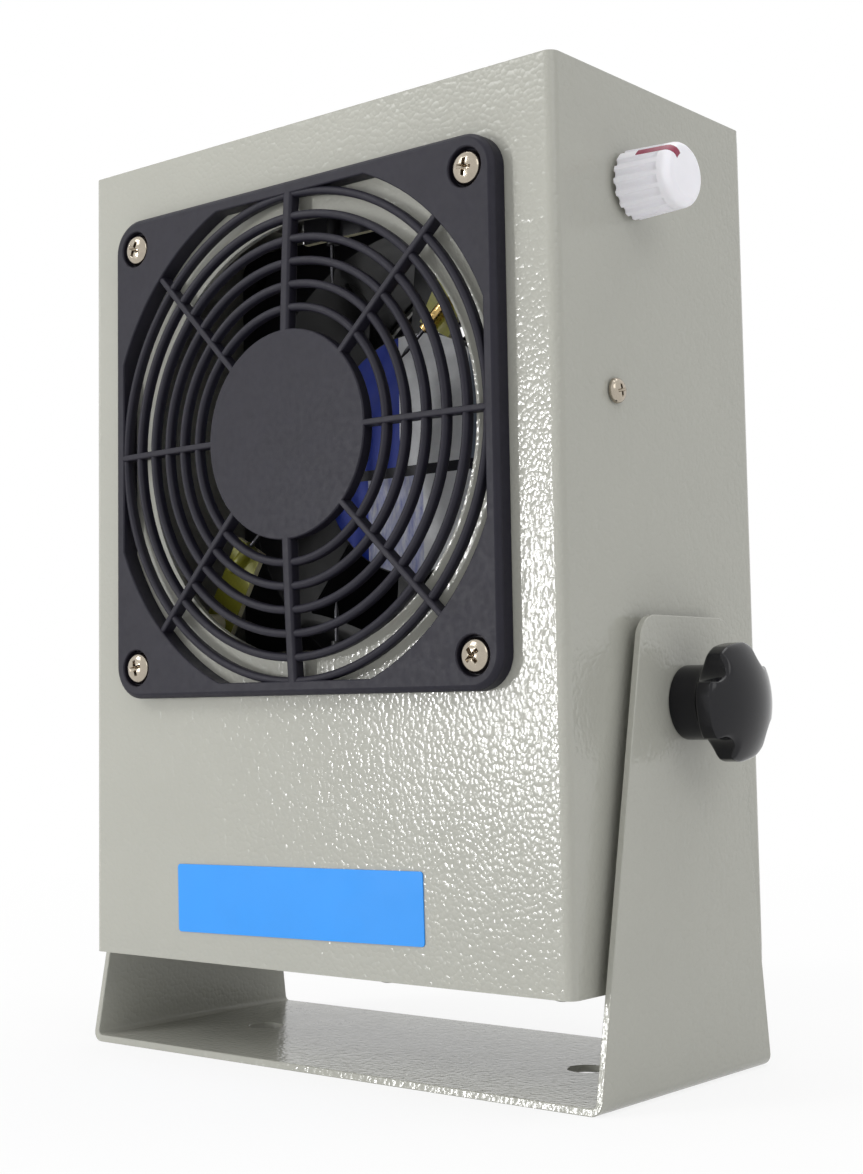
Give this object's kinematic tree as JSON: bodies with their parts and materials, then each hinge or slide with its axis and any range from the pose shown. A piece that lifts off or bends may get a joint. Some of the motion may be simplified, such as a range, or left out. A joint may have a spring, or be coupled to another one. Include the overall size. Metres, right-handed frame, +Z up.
{
  "type": "ionizing blower",
  "caption": "Upright sheet-metal bench fan with a round guarded outlet, emitter needles behind it, a side speed dial and a tilting U bracket with clamp knobs.",
  "frame": {"origin": "centre of the underside of the bracket's floor", "axes": "+Z up, +Y to the back, away from the air outlet, +X to the side with the speed dial"},
  "size_m": [0.1894, 0.093, 0.221],
  "materials": {
    "powder_coat": "light grey-green powder coat, glossy with a fine orange-peel texture",
    "guard_plastic": "charcoal moulded plastic, fine matte grain",
    "blue_label": "bright blue printed film, semi-gloss",
    "brass": "plain turned brass",
    "black_nylon": "black nylon",
    "knob_plastic": "glossy black moulded plastic",
    "dial_plastic": "white moulded plastic, semi-gloss",
    "pointer_paint": "crimson filled line",
    "nickel_steel": "nickel-plated steel",
    "fan_plastic": "black glass-filled plastic",
    "stator_steel": "laminated steel and varnished copper",
    "fan_sticker": "plain blue and white foil sticker",
    "glass_laminate": "bare olive-yellow glass-epoxy board",
    "ivory_nylon": "ivory nylon",
    "potting_black": "black potted case",
    "green_board": "green solder mask",
    "component_blue": "blue capacitor sleeve",
    "terminal_green": "green terminal block plastic",
    "inlet_plastic": "black moulded plastic",
    "fuse_glass": "clear glass tube"
  },
  "bodies": {
    "bracket": {"bracket": "powder_coat"},
    "housing": {"front_shell": "powder_coat", "rear_cover": "powder_coat", "cover_screws": "nickel_steel", "front_guard": "guard_plastic", "guard_screws": "nickel_steel", "guard_nuts": "nickel_steel", "label_plate": "blue_label", "earth_screw": "nickel_steel", "earth_tag": "brass", "earth_nut": "nickel_steel", "pivot_washers": "black_nylon", "pivot_nuts": "nickel_steel", "speed_potentiometer": "black_nylon", "pot_nut": "nickel_steel", "fan_frame": "fan_plastic", "fan_stator": "stator_steel", "fan_bearings": "nickel_steel", "fan_label": "fan_sticker", "rear_guard": "guard_plastic", "fan_screws": "nickel_steel", "fan_nuts": "nickel_steel", "emitter_boards": "glass_laminate", "board_posts": "ivory_nylon", "emitter_sockets": "brass", "emitter_needles": "nickel_steel", "hv_module": "potting_black", "hv_screws": "nickel_steel", "hv_nuts": "nickel_steel", "control_board": "green_board", "board_components": "component_blue", "board_standoffs": "nickel_steel", "board_screws": "nickel_steel", "terminal_block": "terminal_green", "power_inlet": "inlet_plastic", "inlet_pins": "brass", "inlet_screws": "nickel_steel", "inlet_nuts": "nickel_steel"},
    "fan_rotor": {"fan_rotor": "fan_plastic", "fan_shaft": "nickel_steel"},
    "dial": {"dial": "dial_plastic", "dial_pointer": "pointer_paint", "pot_shaft": "nickel_steel"},
    "right_knob": {"right_knob": "knob_plastic", "right_stud": "nickel_steel"},
    "left_knob": {"left_knob": "knob_plastic", "left_stud": "nickel_steel"},
    "fuse_drawer": {"fuse_drawer": "inlet_plastic", "fuse": "fuse_glass"}
  },
  "joints": [
    {"name": "housing_tilt", "type": "hinge", "parent": "bracket", "child": "housing", "pos_m": [0, 0.0026, 0.083], "axis": [1, 0, 0], "range_deg": [-90, 90]},
    {"name": "fan_spin", "type": "hinge", "parent": "housing", "child": "fan_rotor", "pos_m": [0, 0.02, 0.146], "axis": [0, -1, 0], "continuous": true},
    {"name": "dial_turn", "type": "hinge", "parent": "housing", "child": "dial", "pos_m": [0.074, -0.0095, 0.197], "axis": [1, 0, 0], "range_deg": [-195, 105]},
    {"name": "right_clamp", "type": "hinge", "parent": "housing", "child": "right_knob", "pos_m": [0.0773, 0.0026, 0.083], "axis": [1, 0, 0], "range_deg": [0, 540]},
    {"name": "left_clamp", "type": "hinge", "parent": "housing", "child": "left_knob", "pos_m": [-0.0773, 0.0026, 0.083], "axis": [-1, 0, 0], "range_deg": [0, 540]},
    {"name": "fuse_pull", "type": "slide", "parent": "housing", "child": "fuse_drawer", "axis": [0, 1, 0], "range_m": [0, 0.014]}
  ]
}
